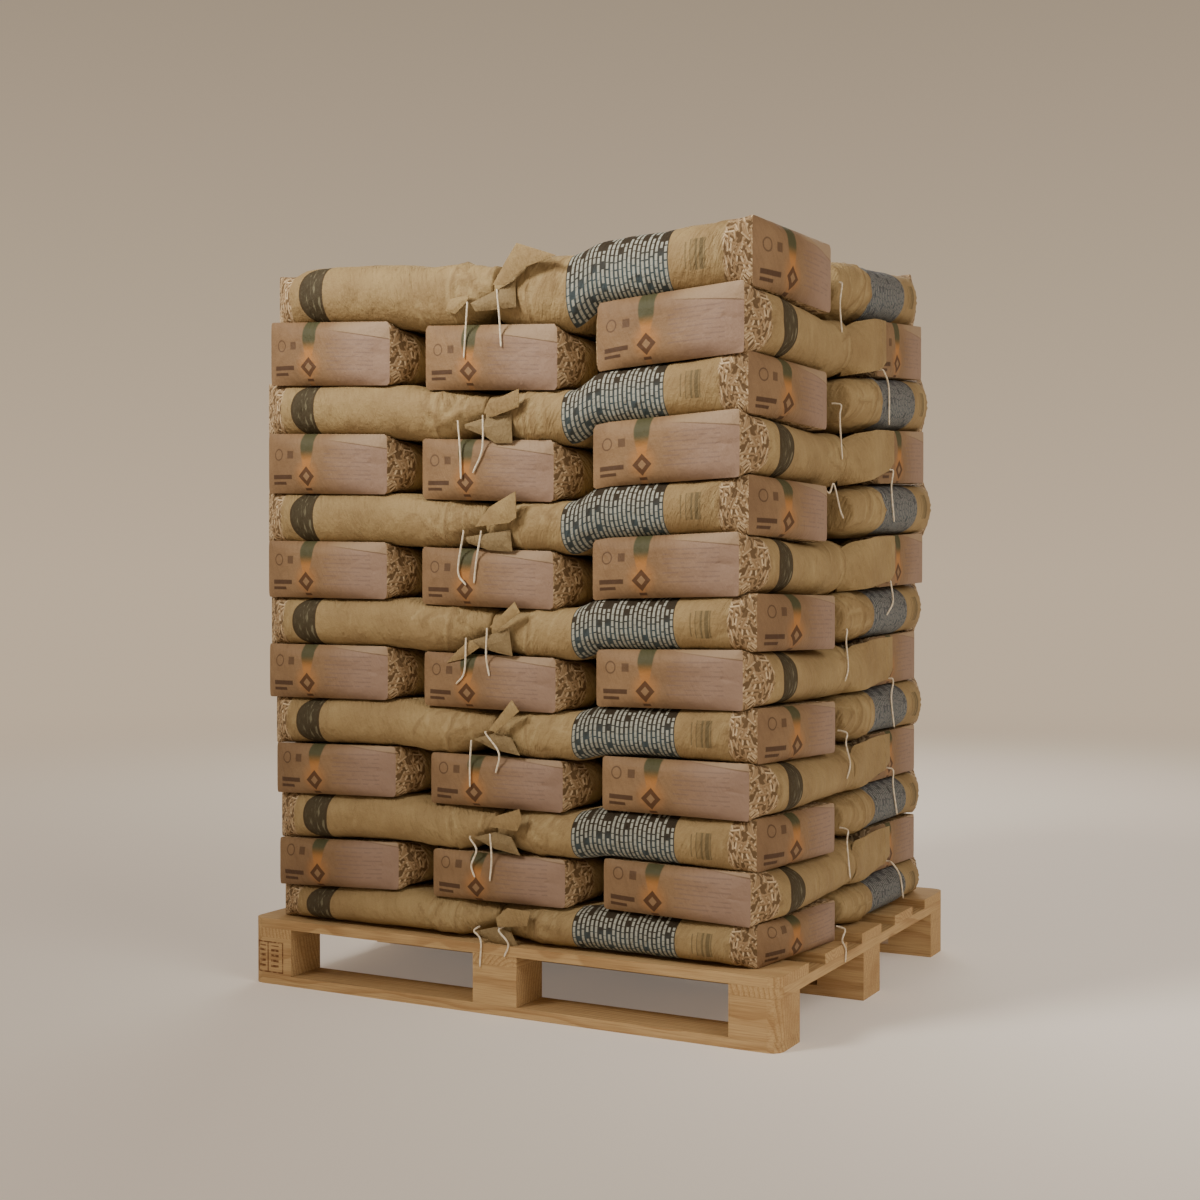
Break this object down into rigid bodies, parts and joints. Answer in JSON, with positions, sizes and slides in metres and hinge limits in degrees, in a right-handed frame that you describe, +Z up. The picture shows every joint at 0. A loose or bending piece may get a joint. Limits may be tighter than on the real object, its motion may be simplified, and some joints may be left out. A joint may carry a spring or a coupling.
{
  "type": "pallet of sacks",
  "caption": "Filled paper sacks stacked in crossed layers on a wooden block pallet, with loose ends of the closing thread.",
  "frame": {"origin": "on the floor under the middle of the pallet", "axes": "+X along the pallet's long side, +Y across it towards the back, +Z up"},
  "size_m": [1.2109, 1.005, 1.551],
  "materials": {
    "pallet_wood": "rough sawn softwood, a little weathered",
    "sack_paper": null,
    "sewing_thread": "twisted cotton"
  },
  "bodies": {
    "root": {"runner_1": "pallet_wood", "runner_2": "pallet_wood", "runner_3": "pallet_wood", "block_1": "pallet_wood", "block_2": "pallet_wood", "block_3": "pallet_wood", "block_4": "pallet_wood", "block_5": "pallet_wood", "block_6": "pallet_wood", "block_7": "pallet_wood", "block_8": "pallet_wood", "block_9": "pallet_wood", "stringer_board_1": "pallet_wood", "stringer_board_2": "pallet_wood", "stringer_board_3": "pallet_wood", "deck_board_1": "pallet_wood", "deck_board_2": "pallet_wood", "deck_board_3": "pallet_wood", "deck_board_4": "pallet_wood", "deck_board_5": "pallet_wood", "sack_layer_01": "sack_paper", "sack_layer_02": "sack_paper", "sack_layer_03": "sack_paper", "sack_layer_04": "sack_paper", "sack_layer_05": "sack_paper", "sack_layer_06": "sack_paper", "sack_layer_07": "sack_paper", "sack_layer_08": "sack_paper", "sack_layer_09": "sack_paper", "sack_layer_10": "sack_paper", "sack_layer_11": "sack_paper", "sack_layer_12": "sack_paper", "sack_layer_13": "sack_paper", "thread_front_13_a": "sewing_thread", "thread_front_13_b": "sewing_thread", "thread_front_11_a": "sewing_thread", "thread_front_11_b": "sewing_thread", "thread_front_09_a": "sewing_thread", "thread_front_09_b": "sewing_thread", "thread_front_07_a": "sewing_thread", "thread_front_07_b": "sewing_thread", "thread_front_05_a": "sewing_thread", "thread_front_05_b": "sewing_thread", "thread_front_03_a": "sewing_thread", "thread_front_03_b": "sewing_thread", "thread_front_01_a": "sewing_thread", "thread_front_01_b": "sewing_thread", "thread_right_13": "sewing_thread", "thread_right_12": "sewing_thread", "thread_right_11": "sewing_thread", "thread_right_10": "sewing_thread", "thread_right_09": "sewing_thread", "thread_right_08": "sewing_thread", "thread_right_07": "sewing_thread", "thread_right_06": "sewing_thread", "thread_right_05": "sewing_thread", "thread_right_04": "sewing_thread", "thread_right_03": "sewing_thread", "thread_right_02": "sewing_thread", "thread_right_01": "sewing_thread"}
  },
  "joints": []
}
